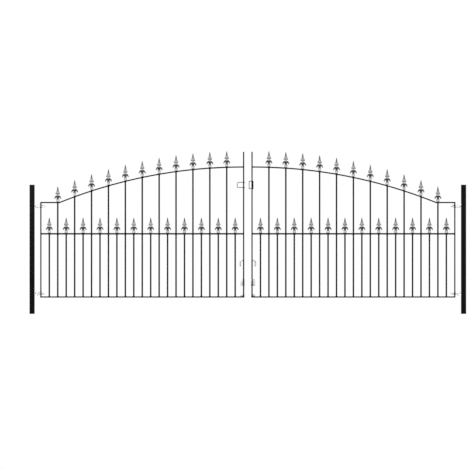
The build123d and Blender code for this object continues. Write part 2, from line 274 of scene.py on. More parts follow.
def mix_colour(tree, factor, first, second):
    """A colour that goes from first to second as factor goes from 0 to 1."""
    node = tree.nodes.new("ShaderNodeMix")
    node.data_type = "RGBA"
    tree.links.new(factor, node.inputs["Factor"])
    for socket, value in ((node.inputs["A"], first), (node.inputs["B"], second)):
        if isinstance(value, tuple):
            socket.default_value = (*value, 1)
        else:
            tree.links.new(value, socket)
    return node.outputs["Result"]


def read_shade(tree):
    """The value of a mesh's shade attribute, and 0 where the mesh has none."""
    node = tree.nodes.new("ShaderNodeAttribute")
    node.attribute_name = "shade"
    return node.outputs["Fac"]


def grain_surface(tree, shader, skin, smoothest, roughest, depth):
    """Roughness from smoothest to roughest by the grain, and a bump of this depth in metres."""
    roughness = remap(tree, skin.outputs["Grain"], 0, 1, smoothest, roughest)
    tree.links.new(roughness, shader.inputs["Roughness"])
    bump = tree.nodes.new("ShaderNodeBump")
    bump.inputs["Distance"].default_value = depth
    tree.links.new(skin.outputs["Height"], bump.inputs["Height"])
    tree.links.new(bump.outputs["Normal"], shader.inputs["Normal"])


print("helpers", mix_colour.__name__, read_shade.__name__, grain_surface.__name__)

# %% [markdown]
# ## Black coat
# The steelwork is powder coated. The powder flows out into a skin that is even from afar and has
# a fine orange peel close by, a touch paler where it is thin on the corners.

# %% Black coat
THICK_COAT = (0.0018, 0.0018, 0.0020)
USUAL_COAT = (0.0030, 0.0030, 0.0033)
THIN_COAT = (0.008, 0.008, 0.009)
black_coat, tree, shader = new_material("black_coat")
skin = place_group(tree, skin_group, Grain_Scale=420.0, Patch_Scale=6.0)
edges = place_group(tree, edge_group, Sharpness=6.0)
coat = mix_colour(tree, skin.outputs["Patches"], THICK_COAT, USUAL_COAT)
coat = mix_colour(tree, edges.outputs["Corners"], coat, THIN_COAT)
tree.links.new(coat, shader.inputs["Base Color"])
shader.inputs["Specular IOR Level"].default_value = 0.04
grain_surface(tree, shader, skin, smoothest=0.40, roughest=0.54, depth=0.00012)
print("material", black_coat.name)

# %% [markdown]
# ## Cast heads
# The railheads are grey sand castings. The skin is grainy, and shade is painted onto them: the
# crowns of the leaves and the stem between them are nearly black, the ends of the leaves and the
# point are grey, and the collar and the middle of the blade are pale. This painted shade stands in
# for the shade in the recesses and for the light and shade along the head, so it is dark also where
# there is no recess, such as the point. The meshes carry it as an attribute named shade, which the
# material reads, so it goes by the head's own shape and height and not by height in the scene.

# %% Cast metal
DARKER_IRON = (0.42, 0.42, 0.43)
PALER_IRON = (0.52, 0.52, 0.53)
PAINTED_HOLLOW_SHADE_IRON = (0.012, 0.012, 0.013)
RUBBED_IRON = (0.56, 0.56, 0.57)
PAINTED_SHADE_IRON = (0.006, 0.006, 0.0065)
cast_metal, tree, shader = new_material("cast_heads")
skin = place_group(tree, skin_group, Grain_Scale=700.0, Patch_Scale=24.0)
edges = place_group(tree, edge_group, Sharpness=7.0)
iron = mix_colour(tree, skin.outputs["Patches"], DARKER_IRON, PALER_IRON)
# painted shade: the iron turns nearly black where the edge group finds a hollow
iron = mix_colour(tree, edges.outputs["Hollows"], iron, PAINTED_HOLLOW_SHADE_IRON)
iron = mix_colour(tree, edges.outputs["Corners"], iron, RUBBED_IRON)
# painted shade: the shade attribute darkens the iron towards nearly black, in the recesses and
# along the head by its height
iron = mix_colour(tree, read_shade(tree), iron, PAINTED_SHADE_IRON)
tree.links.new(iron, shader.inputs["Base Color"])
shader.inputs["Specular IOR Level"].default_value = 0.25
grain_surface(tree, shader, skin, smoothest=0.46, roughest=0.64, depth=0.0004)
print("material", cast_metal.name)

# %% [markdown]
# ## Zinc plate
# Bolts, nuts and sliding parts are zinc plated: a pale metal with a faint cloudy bloom, a little
# yellow in places and cooler in others. The hinges are bright, and the parts that are handled have
# gone dull. The dull ones carry the shade attribute too, and a mesh without it reads as 0. In its
# hollows the zinc is darkened, a painted shade.

# %% Zinc plate
COOL_ZINC = (0.82, 0.84, 0.87)
WARM_ZINC = (0.92, 0.91, 0.87)
COOL_DULL_ZINC = (0.26, 0.27, 0.28)
WARM_DULL_ZINC = (0.36, 0.36, 0.34)
PAINTED_HOLLOW_SHADE_ZINC = (0.22, 0.22, 0.23)
zinc_plate, tree, shader = new_material("zinc_plate")
skin = place_group(tree, skin_group, Grain_Scale=1400.0, Patch_Scale=40.0)
edges = place_group(tree, edge_group, Sharpness=7.0)
bright = mix_colour(tree, skin.outputs["Patches"], COOL_ZINC, WARM_ZINC)
dull = mix_colour(tree, skin.outputs["Patches"], COOL_DULL_ZINC, WARM_DULL_ZINC)
zinc = mix_colour(tree, read_shade(tree), bright, dull)
# painted shade: the zinc goes dark where the edge group finds a hollow
zinc = mix_colour(tree, edges.outputs["Hollows"], zinc, PAINTED_HOLLOW_SHADE_ZINC)
tree.links.new(zinc, shader.inputs["Base Color"])
shader.inputs["Metallic"].default_value = 0.9
grain_surface(tree, shader, skin, smoothest=0.30, roughest=0.48, depth=0.00006)
print("material", zinc_plate.name)

# %% [markdown]
# ## Cap plastic
# The post caps are moulded in black polythene, duller than the coat and with a fine leather-like
# grain from the mould.

# %% Plastic
DARKER_PLASTIC = (0.012, 0.012, 0.012)
PALER_PLASTIC = (0.018, 0.018, 0.018)
cap_plastic, tree, shader = new_material("cap_plastic")
skin = place_group(tree, skin_group, Grain_Scale=650.0, Patch_Scale=14.0)
plastic = mix_colour(tree, skin.outputs["Patches"], DARKER_PLASTIC, PALER_PLASTIC)
tree.links.new(plastic, shader.inputs["Base Color"])
shader.inputs["Specular IOR Level"].default_value = 0.4
grain_surface(tree, shader, skin, smoothest=0.58, roughest=0.72, depth=0.0001)
print("material", cap_plastic.name)

# %% [markdown]
# Every CAD node first gets the finish of its slot. The gate then looks right in each render made
# while the finer pieces below are still being built one after another.

# %% Finishes on the CAD nodes
FINISHES = {
    "black_coat": black_coat,
    "cast_heads": cast_metal,
    "zinc_plate": zinc_plate,
    "cap_plastic": cap_plastic,
}
slot_of_node = {row["node"]: row["material_slot"] for row in frame["record"]["subparts"]}
for name, node in frame["nodes"].items():
    node.data.materials.clear()
    node.data.materials.append(FINISHES[slot_of_node[name]])
print("dressed", len(slot_of_node), "nodes")


# %% [markdown]
# ## Pieces
# A piece is a mesh that rides on a body. All are built in bmesh, which holds a mesh while it is
# edited. The first helper turns one into an object, gives it its finish and ties it to its body,
# and the second does so for a piece that stands for one CAD node.


# %% Helpers for pieces
SMOOTH_ANGLE = math.radians(35)


def finish_piece(name, bm, body, slot, replaced=()):
    """A piece from bm that rides on body, has slot's finish and stands for the replaced nodes."""
    bmesh.ops.recalc_face_normals(bm, faces=bm.faces)
    mesh = bpy.data.meshes.new(name)
    bm.to_mesh(mesh)
    bm.free()
    piece = bpy.data.objects.new(name, mesh)
    bpy.context.collection.objects.link(piece)
    mesh.materials.append(FINISHES[slot])
    mesh.shade_smooth()
    mesh.set_sharp_from_angle(angle=SMOOTH_ANGLE)
    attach(piece, body)
    if replaced:
        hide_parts(*replaced)
    print(name, "faces", len(mesh.polygons))
    return piece


def finish_node(name, bm, node, slot=None):
    """A piece that stands for one CAD node and takes its body and, unless told, its slot."""
    return finish_piece(name, bm, body_of_node[node], slot or slot_of_node[node], [node])


def set_shade(piece, value):
    """Gives every point of a piece the same value of the shade attribute."""
    shade = piece.data.attributes.new("shade", "FLOAT", "POINT")
    shade.data.foreach_set("value", [value] * len(shade.data))


# %% [markdown]
# ## Rolled edges
# Rolled bar never has knife edges. The CAD bars and rails have the right place and size, so a
# copy of each one's mesh is cleaned of its triangles and given a small rounded edge. A Bevel
# modifier could do the same, but the operator in bmesh lets the edges be chosen first: only those
# with a real corner, and on punched pieces not the short ones round the holes.


# %% Rolled edges on bars, rails and plates
CORNER_ANGLE = math.radians(40)
FLAT_ANGLE = math.radians(1)
SAME_PLACE = 2e-5


def roll_edges(bm, radius, shortest=0.0):
    """Rounds to radius the corners of bm that are longer than shortest."""
    sharp = [e for e in bm.edges if e.is_manifold and e.calc_face_angle(0) > CORNER_ANGLE]
    corners = [e for e in sharp if e.calc_length() > shortest]
    bmesh.ops.bevel(
        bm, geom=corners, offset=radius, segments=2, profile=0.5, affect="EDGES", clamp_overlap=True
    )
    return bm


def node_bmesh(node):
    """A bmesh copy of a CAD node."""
    bm = bmesh.new()
    bm.from_mesh(frame["nodes"][node].data)
    return bm


def rolled_copy(node, radius, shortest=0.0):
    """A bmesh copy of a CAD node with its corners rounded to radius."""
    bm = node_bmesh(node)
    bmesh.ops.remove_doubles(bm, verts=bm.verts, dist=SAME_PLACE)
    bmesh.ops.dissolve_limit(
        bm, angle_limit=FLAT_ANGLE, verts=bm.verts, edges=bm.edges, use_dissolve_boundaries=False
    )
    return roll_edges(bm, radius, shortest)


ROLLED_RADIUS = {
    "post": 0.0003,
    "post_cap": 0.0004,
    "hinge_stile": 0.0010,
    "meeting_stile": 0.0010,
    "bottom_rail": 0.0010,
    "mid_rail": 0.0010,
    "top_rail": 0.0010,
    "tall_bars": 0.0008,
    "dog_bars": 0.0008,
    "drop_keeps": 0.0006,
}
PLATE_RADIUS = 0.0010
PUNCHED = ("hinge_stile", "meeting_stile", "mid_rail")
LONGER_THAN_HOLES = 0.015
KEEP_SHADE = 0.3
rolled = [
    (f"{side}_{kind}", radius)
    for side in ("left", "right")
    for kind, radius in ROLLED_RADIUS.items()
]
rolled.append(("keeper_backing_plate", PLATE_RADIUS))
for node, radius in rolled:
    shortest = LONGER_THAN_HOLES if node.endswith(PUNCHED) else 0.0
    piece = finish_node(f"{node}_rolled", rolled_copy(node, radius, shortest), node)
    if "drop_keeps" in node:
        set_shade(piece, KEEP_SHADE)

# %% [markdown]
# ## Keeper
# The keeper is a strip folded into a U, with its ends on the stile and two holes punched in its
# back for the latch's legs. A shape like this is easy to build on a grid: the cells that hold
# steel are named, and every side of such a cell that faces an empty one becomes a face. No
# boolean is needed. Rounding the edges leaves a few faces without area, which are dissolved, and
# the faces are then put in the order of their points, so that every run gives the same mesh.


# %% Keeper
def cell_solid(xs, ys, zs, holds_steel):
    """A bmesh skin round the cells that hold steel, on a grid with lines at xs, ys and zs."""
    bm = bmesh.new()
    corners = {}
    counts = (len(xs) - 1, len(ys) - 1, len(zs) - 1)

    def corner(place):
        if place not in corners:
            corners[place] = bm.verts.new((xs[place[0]], ys[place[1]], zs[place[2]]))
        return corners[place]

    def full(cell):
        return all(0 <= c < n for c, n in zip(cell, counts)) and holds_steel(*cell)

    for cell in product(*(range(count) for count in counts)):
        for axis in range(3):
            for step in (0, 1):
                beyond = list(cell)
                beyond[axis] += 2 * step - 1
                if full(cell) and not full(tuple(beyond)):
                    around = []
                    for u, v in ((0, 0), (1, 0), (1, 1), (0, 1)):
                        place = list(cell)
                        place[axis] += step
                        place[axis - 2] += u
                        place[axis - 1] += v
                        around.append(corner(tuple(place)))
                    bm.faces.new(around)
    bmesh.ops.recalc_face_normals(bm, faces=bm.faces)
    return bm


KEEPER_WALL = 0.005
KEEPER_HOLE_HALF_WIDTH = 0.007
KEEPER_HOLE_HALF_HEIGHT = 0.005
LEG_HALF_SPACING = 0.020
KEEPER_EDGE = 0.0008
THINNEST = 1e-6
MANY = 10000
low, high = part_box("latch_keeper")
middle = (low.z + high.z) / 2
across = [low.x, low.x + KEEPER_WALL, high.x]
deep = [low.y, -KEEPER_HOLE_HALF_WIDTH, KEEPER_HOLE_HALF_WIDTH, high.y]
upright = [low.z, low.z + KEEPER_WALL]
for leg in (middle - LEG_HALF_SPACING, middle + LEG_HALF_SPACING):
    upright += [leg - KEEPER_HOLE_HALF_HEIGHT, leg + KEEPER_HOLE_HALF_HEIGHT]
upright += [high.z - KEEPER_WALL, high.z]
ARM_LAYERS = (0, len(upright) - 2)
HOLE_LAYERS = (2, 4)


def keeper_steel(i, j, k):
    """The arms at the top and the bottom, and the back with its two holes."""
    in_hole = j == 1 and k in HOLE_LAYERS
    return k in ARM_LAYERS or (i == 0 and not in_hole)


def point_order(face):
    """A number made of the three lowest indices of a face's points."""
    first, second, third = sorted(vert.index for vert in face.verts)[:3]
    return (first * MANY + second) * MANY + third


bm = roll_edges(cell_solid(across, deep, upright, keeper_steel), KEEPER_EDGE)
bmesh.ops.dissolve_degenerate(bm, dist=THINNEST, edges=bm.edges)
bm.verts.index_update()
bm.faces.sort(key=point_order)
finish_node("latch_keeper_folded", bm, "latch_keeper")

# %% [markdown]
# ## Rings and tubes
# Almost everything else is a skin stretched over a row of rings: a casting, a bent rod, a weld
# bead, a nut. One helper joins rings of points into a closed skin; the others make the rings.
# Blender's curves with a bevel could make the rods, but rings also give threads, swellings and
# points.


# %% Helpers for skins over rings
NEARLY_ALONG_Y = 0.9


def skin_rings(bm, rings, closed=False):
    """Faces between rings of equal length, with a cap at each end unless the row is closed."""
    rows = [[bm.verts.new(point) for point in ring] for ring in rings]
    pairs = list(zip(rows, rows[1:])) + ([(rows[-1], rows[0])] if closed else [])
    for lower, upper in pairs:
        for i in range(len(lower)):
            j = (i + 1) % len(lower)
            bm.faces.new((lower[i], lower[j], upper[j], upper[i]))
    if not closed:
        bm.faces.new(rows[0][::-1])
        bm.faces.new(rows[-1])
    return rows


def frame_along(direction):
    """Two unit vectors square to direction and to each other."""
    forward = Vector(direction).normalized()
    helper = Vector((0, 1, 0)) if abs(forward.y) < NEARLY_ALONG_Y else Vector((1, 0, 0))
    across = forward.cross(helper).normalized()
    return across, across.cross(forward)


def turns(segments):
    """The angles of equal steps round one turn."""
    return [math.tau * k / segments for k in range(segments)]


def round_ring(centre, across, up, radius, segments):
    """A ring of points about centre in the plane of across and up."""
    return [centre + (across * math.cos(t) + up * math.sin(t)) * radius for t in turns(segments)]


def lathe(bm, origin, axis, profile, segments, closed=False):
    """Rings round an axis from origin; profile is a list of (distance along the axis, radius)."""
    across, up = frame_along(axis)
    forward = Vector(axis).normalized()
    rings = [
        round_ring(origin + forward * along, across, up, radius, segments)
        for along, radius in profile
    ]
    return skin_rings(bm, rings, closed)


def neighbours(line, i, closed=False):
    """The points before and after line[i]; at the ends of an open line that is the point itself."""
    last = len(line) - 1
    before = line[i - 1] if i or closed else line[i]
    after = line[(i + 1) % len(line)] if i < last or closed else line[i]
    return before, after


def sweep(bm, centres, radii, segments):
    """A tube of round rings along a line of centres, each ring square to the line."""
    rings = []
    for i, (centre, radius) in enumerate(zip(centres, radii)):
        before, after = neighbours(centres, i)
        rings.append(round_ring(centre, *frame_along(after - before), radius, segments))
    return skin_rings(bm, rings)


print("helpers", skin_rings.__name__, lathe.__name__, sweep.__name__)

# %% [markdown]
# ## Railheads
# Each bar ends in a cast spear. From the rail up it has a collar that covers the bar's end, a
# flared stem, two leaves that rise, curl over and droop to a blunt end, a small bead, and a blade
# with a raised rib that flares out low down and runs up to a long point. The CAD has the same
# shape with flat faces. Here it gets a casting's curves: rings whose width and depth follow the
# outline. The foot is where the CAD head begins, and the collar goes on below it down to the
# rail.

# %% Railhead outline, in millimetres above the head's foot
# collar: (height, half width); stem, bead and blade: (height, half width, half depth)
# leaf: (distance from the middle, height, half thickness, painted shade); painted shades: (height,
# painted shade)
COLLAR_RINGS = (
    (-2.9, 10.6), (-2.3, 11.9), (-1.2, 12.5), (9.0, 12.5), (14.5, 12.3), (17.5, 11.0), (19.4, 9.0),
    (20.0, 7.4),
)
STEM_RINGS = (
    (19.5, 10.4, 8.6), (23.0, 9.4, 7.4), (30.0, 8.6, 6.6), (37.0, 7.2, 5.6), (44.0, 5.6, 4.4),
    (49.5, 5.2, 3.6),
)
BEAD_RINGS = (
    (48.6, 5.0, 3.4), (49.4, 7.9, 5.4), (50.6, 8.6, 6.0), (51.8, 7.9, 5.4), (52.6, 5.0, 3.4),
)
BLADE_RINGS = (
    (51.0, 4.6, 2.6), (53.0, 8.5, 3.8), (54.8, 13.0, 5.4), (56.6, 16.6, 6.8), (59.0, 18.0, 7.4),
    (61.5, 18.0, 7.6), (64.0, 17.1, 7.5), (67.0, 15.8, 7.3), (70.5, 14.3, 7.0), (74.5, 12.4, 6.5),
    (79.0, 10.3, 5.8), (84.0, 8.2, 5.0), (90.0, 6.8, 4.4), (98.0, 5.4, 3.8), (106.0, 4.0, 3.0),
    (112.5, 2.4, 2.0), (116.5, 1.1, 1.0), (118.0, 0.4, 0.4),
)
LEAF_LINE = (
    (0.0, 29.0, 5.0, 1.0), (2.2, 33.2, 7.2, 1.0), (5.2, 38.0, 8.0, 1.0), (9.0, 40.4, 7.3, 0.95),
    (12.8, 39.5, 6.6, 0.92), (16.2, 36.2, 5.9, 0.88), (19.2, 32.0, 5.5, 0.78),
    (21.6, 27.8, 5.0, 0.66), (23.2, 24.2, 4.1, 0.6), (24.2, 21.4, 2.7, 0.55),
    (24.6, 19.8, 0.6, 0.5),
)
LEAF_DEPTH = 0.8  # share of the thickness
HEAD_PAINTED_SHADES = (
    (0, 0.0), (11, 0.0), (13, 0.5), (18, 0.62), (22, 0.88), (26, 0.88), (30, 1.0), (40, 1.0),
    (44, 0.62), (47, 0.28), (50, 0.12), (54, 0.2), (57, 0.6), (60, 0.62), (63, 0.5), (66, 0.4),
    (72, 0.28), (77, 0.32), (81, 0.58), (90, 0.76), (98, 0.84), (118, 0.85),
)
COLLAR_POWER, STEM_POWER, BEAD_POWER, BLADE_POWER = 7, 3, 2, 0.95
LEAF_SHARPNESS = 1.5
HEAD_SEGMENTS = 28
LEAF_SEGMENTS = 12
MM = 0.001


def rounded(t, exponent):
    """Cosine and sine of t raised to exponent, signs kept, for rings that aren't round."""
    return (math.copysign(abs(c) ** exponent, c) for c in (math.cos(t), math.sin(t)))


def power_ring(half_x, half_y, height, power):
    """A ring: a rounded square for a high power, an oval at 2, a hollow diamond below 1."""
    ring = []
    for t in turns(HEAD_SEGMENTS):
        c, s = rounded(t, 2 / power)
        ring.append(Vector((c * half_x, s * half_y, height)) * MM)
    return ring


def add_leaf(bm, side):
    """One curled leaf, a tube with a rib along its front and back that thins to its end."""
    line = [Vector((x, 0, z)) for x, z, *_ in LEAF_LINE]
    rings = []
    for i, (_, _, half, _) in enumerate(LEAF_LINE):
        before, after = neighbours(line, i)
        along = (after - before).normalized()
        across = Vector((along.z, 0, -along.x))
        ring = []
        for t in turns(LEAF_SEGMENTS):
            wide, deep = rounded(t, LEAF_SHARPNESS)
            point = line[i] + across * wide * half + Vector((0, deep * half * LEAF_DEPTH, 0))
            ring.append(Vector((point.x * side, point.y, point.z)) * MM)
        rings.append(ring)
    return skin_rings(bm, rings)


def head_painted_shade(height):
    """How much shade is painted on the casting at this height: 0 where it is pale, 1 where nearly
    black.
    """
    for (low, dark_low), (high, dark_high) in zip(HEAD_PAINTED_SHADES, HEAD_PAINTED_SHADES[1:]):
        if height <= high:
            return dark_low + (dark_high - dark_low) * (height - low) / (high - low)
    return HEAD_PAINTED_SHADES[-1][1]


def railhead_template():
    """One railhead with its foot at the origin, kept as a mesh to copy from."""
    bm = bmesh.new()
    shade = bm.verts.layers.float.new("shade")
    collar = [(height, half, half) for height, half in COLLAR_RINGS]
    for outline, power in (
        (collar, COLLAR_POWER),
        (STEM_RINGS, STEM_POWER),
        (BEAD_RINGS, BEAD_POWER),
        (BLADE_RINGS, BLADE_POWER),
    ):
        skin_rings(bm, [power_ring(wide, deep, height, power) for height, wide, deep in outline])
    # painted shade: each point of the head gets its painted shade by its height, and each ring of a
    # leaf its own
    for vert in bm.verts:
        vert[shade] = head_painted_shade(vert.co.z / MM)
    for side in (-1, 1):
        for row, (*_, dark) in zip(add_leaf(bm, side), LEAF_LINE):
            for vert in row:
                vert[shade] = dark
    bmesh.ops.recalc_face_normals(bm, faces=bm.faces)
    mesh = bpy.data.meshes.new("railhead_template")
    bm.to_mesh(mesh)
    bm.free()
    return mesh


head_template = railhead_template()
print("railhead faces", len(head_template.polygons))


# %% [markdown]
# The places of the heads come from the CAD: they stand at equal steps between the first and the
# last, and each one's foot is the lowest point of the CAD head there.


# %% Railheads in their places
HEAD_REACH = 0.030  # half the width of a CAD head
PER_LEAF = {"tall": 11, "dog": 12}


def even_steps(first, last, count):
    """Values at equal steps from first to last."""
    return [first + (last - first) * i / (count - 1) for i in range(count)]


def head_feet(node, count):
    """Foot of each head of a CAD node, from left to right."""
    low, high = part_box(node)
    points = [v.co for v in frame["nodes"][node].data.vertices]
    feet = []
    for x in even_steps(low.x + HEAD_REACH, high.x - HEAD_REACH, count):
        feet.append(Vector((x, 0, min(p.z for p in points if abs(p.x - x) < HEAD_REACH))))
    return feet


for side in ("left", "right"):
    for kind, count in PER_LEAF.items():
        node = f"{side}_{kind}_railheads"
        bm = bmesh.new()
        for foot in head_feet(node, count):
            start = len(bm.verts)
            bm.from_mesh(head_template)
            bm.verts.ensure_lookup_table()
            bmesh.ops.translate(bm, verts=bm.verts[start:], vec=foot)
        finish_node(f"{node}_cast", bm, node)

# %% [markdown]
# ## Rods
# The latch and the drop bolts are bent from round bar. Each is a tube along straight runs and
# round bends, with its free ends chamfered.


# %% Bent rods
ARC_STEPS = 14
ROD_SEGMENTS = 32


def arc(centre, radius, start, end):
    """Points of an arc in the XZ plane about centre; angles in degrees from +X towards +Z."""
    angles = [math.radians(start + (end - start) * i / ARC_STEPS) for i in range(ARC_STEPS + 1)]
    return [centre + Vector((math.cos(a), 0, math.sin(a))) * radius for a in angles]


def rod(bm, centres, radius, chamfer):
    """A rod of this radius along centres, with both ends chamfered."""
    first = (centres[1] - centres[0]).normalized()
    last = (centres[-1] - centres[-2]).normalized()
    line = [centres[0], centres[0] + first * chamfer, *centres[1:-1]]
    line += [centres[-1] - last * chamfer, centres[-1]]
    radii = [radius - chamfer, *[radius] * (len(line) - 2), radius - chamfer]
    sweep(bm, line, radii, ROD_SEGMENTS)


LATCH_RADIUS = 0.004
LATCH_BEND = 0.008
LATCH_CHAMFER = 0.001
LATCH_SHADE = 1.0
low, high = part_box("latch_bolt")
back = low.x + LATCH_RADIUS
lower_leg, upper_leg = low.z + LATCH_RADIUS, high.z - LATCH_RADIUS
lower_turn = Vector((back + LATCH_BEND, 0, lower_leg + LATCH_BEND))
upper_turn = Vector((back + LATCH_BEND, 0, upper_leg - LATCH_BEND))
latch_line = [Vector((high.x, 0, lower_leg)), *arc(lower_turn, LATCH_BEND, 270, 180)]
latch_line += [*arc(upper_turn, LATCH_BEND, 180, 90), Vector((high.x, 0, upper_leg))]
bm = bmesh.new()
rod(bm, latch_line, LATCH_RADIUS, LATCH_CHAMFER)
set_shade(finish_node("latch_bolt_bent", bm, "latch_bolt"), LATCH_SHADE)

DROP_RADIUS = 0.006
DROP_BEND = 0.013
DROP_HOOK = 0.036
DROP_CHAMFER = 0.0015
DROP_SHADE = 0.2
for side, lean in (("left", -1), ("right", 1)):
    node = f"{side}_drop_bolt"
    low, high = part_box(node)
    depth = (low.y + high.y) / 2
    rod_x = high.x - DROP_RADIUS if lean < 0 else low.x + DROP_RADIUS
    turn = Vector((rod_x + lean * DROP_BEND, depth, high.z - DROP_RADIUS - DROP_BEND))
    bend = arc(turn, DROP_BEND, 0, 180) if lean < 0 else arc(turn, DROP_BEND, 180, 0)
    hook_end = Vector((rod_x + 2 * lean * DROP_BEND, depth, turn.z - DROP_HOOK))
    bm = bmesh.new()
    rod(bm, [Vector((rod_x, depth, low.z)), *bend, hook_end], DROP_RADIUS, DROP_CHAMFER)
    set_shade(finish_node(f"{node}_bent", bm, node), DROP_SHADE)

# %% [markdown]
# ## Hinges
# On each post two arms carry an upright pin, and an eye bolt through the hinge stile turns on it.
# The bolt's shank has a rolled thread, so that the gate can be set level with its nuts. A thread
# is a helix: each ring's points move in and out as the groove passes them, which needs no
# boolean.

# %% Threads
SHANK_RADIUS = 0.006
THREAD_PITCH = 0.00175
THREAD_DEPTH = 0.00095
THREAD_CLEARANCE = 0.00005
THREAD_SEGMENTS = 24
RINGS_PER_TURN = 6
FADE_LENGTH = 2 * THREAD_PITCH
TAPER_LENGTH = 0.001
TAPER_DEPTH = 0.0008
TIP_DEPTH = 0.0012


def threaded_shank(bm, start, end, thread_start):
    """A round shank from start to end, in X, with a thread from thread_start on."""
    direction = 1 if end.x > start.x else -1

    def ring(x, radius_at):
        centre = Vector((x, start.y, start.z))
        return [
            centre + Vector((0, math.cos(t), math.sin(t))) * radius_at(t)
            for t in turns(THREAD_SEGMENTS)
        ]

    rings = [ring(x, lambda t: SHANK_RADIUS) for x in (start.x, thread_start)]
    length = abs(end.x - thread_start)
    count = int(length / THREAD_PITCH * RINGS_PER_TURN)
    for i in range(1, count):
        along = length * i / count
        fade = min(1.0, along / FADE_LENGTH)
        taper = 1 - min(1.0, (length - along) / TAPER_LENGTH)
        crest = SHANK_RADIUS - THREAD_CLEARANCE - TAPER_DEPTH * taper

        def thread_radius(t, along=along, fade=fade, crest=crest):
            phase = (along / THREAD_PITCH - t / math.tau) % 1
            groove = 1 - abs(2 * phase - 1)
            return crest - THREAD_DEPTH * fade * groove

        rings.append(ring(thread_start + direction * along, thread_radius))
    rings.append(ring(end.x, lambda t: SHANK_RADIUS - TIP_DEPTH))
    skin_rings(bm, rings)


print("thread pitch", THREAD_PITCH * 1000, "mm")


# %% Nuts
NUT_APOTHEM = 0.009
NUT_TOTAL = 0.013
NUT_FLANGE = 0.0025
NUT_FLANGE_RADIUS = 0.0125
NUT_SEGMENTS = 48
# distance from the face, and either a radius or a share of the radius at the corners
NUT_STAGES = (
    (0.0, "round", NUT_FLANGE_RADIUS - 0.0003),
    (0.0004, "round", NUT_FLANGE_RADIUS),
    (NUT_FLANGE - 0.0008, "round", NUT_FLANGE_RADIUS),
    (NUT_FLANGE, "round", NUT_FLANGE_RADIUS - 0.0012),
    (NUT_FLANGE + 0.0002, "hexagon", 1.0),
    (NUT_TOTAL - 0.0012, "hexagon", 1.0),
    (NUT_TOTAL - 0.0005, "hexagon", 0.955),
    (NUT_TOTAL, "hexagon", 0.91),
    (NUT_TOTAL - 0.0002, "round", SHANK_RADIUS + 0.0006),
    (NUT_TOTAL - 0.001, "round", SHANK_RADIUS),
)
SIXTH = math.pi / 3


def flange_nut(bm, face, outwards):
    """A hexagon nut with a flange, from the face that it bears on, along X."""
    corner_radius = NUT_APOTHEM / math.cos(SIXTH / 2)
    rings = []
    for along, kind, value in NUT_STAGES:
        ring = []
        for t in turns(NUT_SEGMENTS):
            hexagon = NUT_APOTHEM / math.cos((t + SIXTH / 2) % SIXTH - SIXTH / 2)
            radius = value if kind == "round" else min(hexagon, corner_radius * value)
            place = Vector((outwards * along, math.cos(t) * radius, math.sin(t) * radius))
            ring.append(face + place)
        rings.append(ring)
    skin_rings(bm, rings)


print("nut", NUT_APOTHEM * 2000, "mm across its flats")

# %% Eye bolts and nuts
EYE_RADIUS = 0.012
EYE_BORE = 0.0063  # the pin's radius and 0.3 mm of play
EYE_HALF = 0.007
EYE_SEGMENTS = 48
SHANK_OVERLAP = 0.002
THREAD_BEYOND_NUT = 0.004
# distance along the pin from the eye's middle, and radius
EYE_PROFILE = (
    (-EYE_HALF, EYE_BORE + 0.0008),
    (-EYE_HALF, EYE_RADIUS - 0.002),
    (-EYE_HALF + 0.0006, EYE_RADIUS - 0.0006),
    (-EYE_HALF + 0.002, EYE_RADIUS),
    (EYE_HALF - 0.002, EYE_RADIUS),
    (EYE_HALF - 0.0006, EYE_RADIUS - 0.0006),
    (EYE_HALF, EYE_RADIUS - 0.002),
    (EYE_HALF, EYE_BORE + 0.0008),
    (EYE_HALF - 0.0008, EYE_BORE),
    (-EYE_HALF + 0.0008, EYE_BORE),
)
UP, SIDEWAYS = Vector((0, 0, 1)), Vector((1, 0, 0))
for side, lean in (("left", 1), ("right", -1)):
    low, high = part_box(f"{side}_eye_bolts")
    stile_low, stile_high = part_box(f"{side}_hinge_stile")
    outer, inner = (stile_low.x, stile_high.x) if lean > 0 else (stile_high.x, stile_low.x)
    pin_x = (low.x if lean > 0 else high.x) + lean * EYE_RADIUS
    shank_end = high.x if lean > 0 else low.x
    eyes, nuts = bmesh.new(), bmesh.new()
    for level in (low.z + EYE_HALF, high.z - EYE_HALF):
        middle = Vector((pin_x, 0, level))
        lathe(eyes, middle, UP, EYE_PROFILE, EYE_SEGMENTS, closed=True)
        start = middle + SIDEWAYS * lean * (EYE_BORE + SHANK_OVERLAP)
        thread_start = outer - lean * (NUT_TOTAL + THREAD_BEYOND_NUT)
        threaded_shank(eyes, start, Vector((shank_end, 0, level)), thread_start)
        flange_nut(nuts, Vector((outer, 0, level)), -lean)
        flange_nut(nuts, Vector((inner, 0, level)), lean)
    finish_node(f"{side}_eye_bolts_threaded", eyes, f"{side}_eye_bolts")
    finish_node(f"{side}_hinge_nuts_flanged", nuts, f"{side}_hinge_nuts")

# %% [markdown]
# The brackets keep their CAD shape, a flat arm with a round end and an upright pin. They only
# need the rounded edge that flame cutting and tumbling leave, so they go through the same helper
# as the bars. The picture shows them as pale as the eye bolts, so they take the zinc finish.

# %% Hinge brackets
BRACKET_EDGE = 0.0009
for side in ("left", "right"):
    node = f"{side}_hinge_brackets"
    finish_node(f"{node}_rolled", rolled_copy(node, BRACKET_EDGE), node, slot="zinc_plate")

# %% [markdown]
# ## Welds
# Rails, bars and bracket arms are joined by small fillet welds. A bead is a thin tube laid in the
# corner, half sunk in the steel, that swells at each ripple of the weld pool. A noise texture
# could only pretend this; in the mesh it also shows from close by. Its unevenness comes from a
# random generator with a fixed seed, so every run lays the same beads.

# %% Helpers for weld beads
BEAD_RADIUS = 0.0021
BEAD_STEP = 0.00065
BEAD_SEGMENTS = 8
RIPPLE_LENGTH = 0.0026
LEAST_SWELL, RIPPLE_SWELL, RANDOM_SWELL = 0.90, 0.16, 0.05
END_SWELL, SWELL_PER_RING = 0.35, 0.25
CORNER_CUT = 0.0022
weld_random = random.Random(7)


